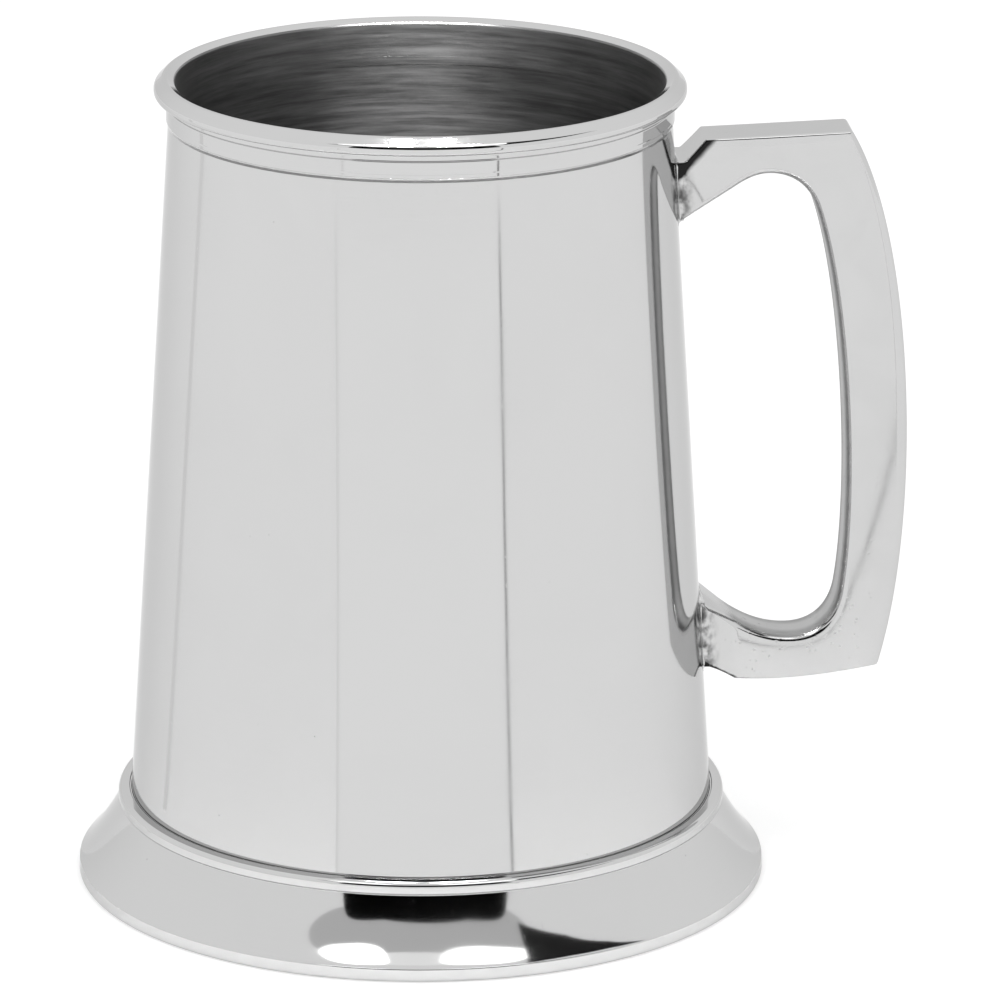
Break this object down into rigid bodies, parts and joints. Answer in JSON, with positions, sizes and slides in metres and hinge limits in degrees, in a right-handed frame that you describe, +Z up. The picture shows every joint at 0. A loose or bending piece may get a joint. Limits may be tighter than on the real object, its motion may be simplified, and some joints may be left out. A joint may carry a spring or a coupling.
{
  "type": "tankard",
  "caption": "Tapered pewter tankard with a rolled lip, a flared hollow foot and a squared loop handle.",
  "frame": {"origin": "centre of the whole footprint box, foot and handle together, on the table plane; the barrel's own axis stands 10.63 mm towards -X", "axes": "+Z up along the barrel's axis; +X from the barrel towards the handle; +Y across the handle's width"},
  "size_m": [0.1266, 0.1054, 0.125],
  "materials": {
    "polished_pewter": "bright polished pewter with faint handling scratches",
    "satin_pewter": "lathe-brushed satin pewter, as inside the barrel and on the base disc",
    "solder": "scraped and buffed pewter solder"
  },
  "bodies": {
    "root": {"barrel": "polished_pewter", "mouth_mount": "polished_pewter", "base_disc": "satin_pewter", "foot": "polished_pewter", "handle": "polished_pewter", "mouth_solder": "solder", "base_solder": "solder", "foot_solder": "solder", "handle_upper_solder": "solder", "handle_lower_solder": "solder"}
  },
  "joints": []
}
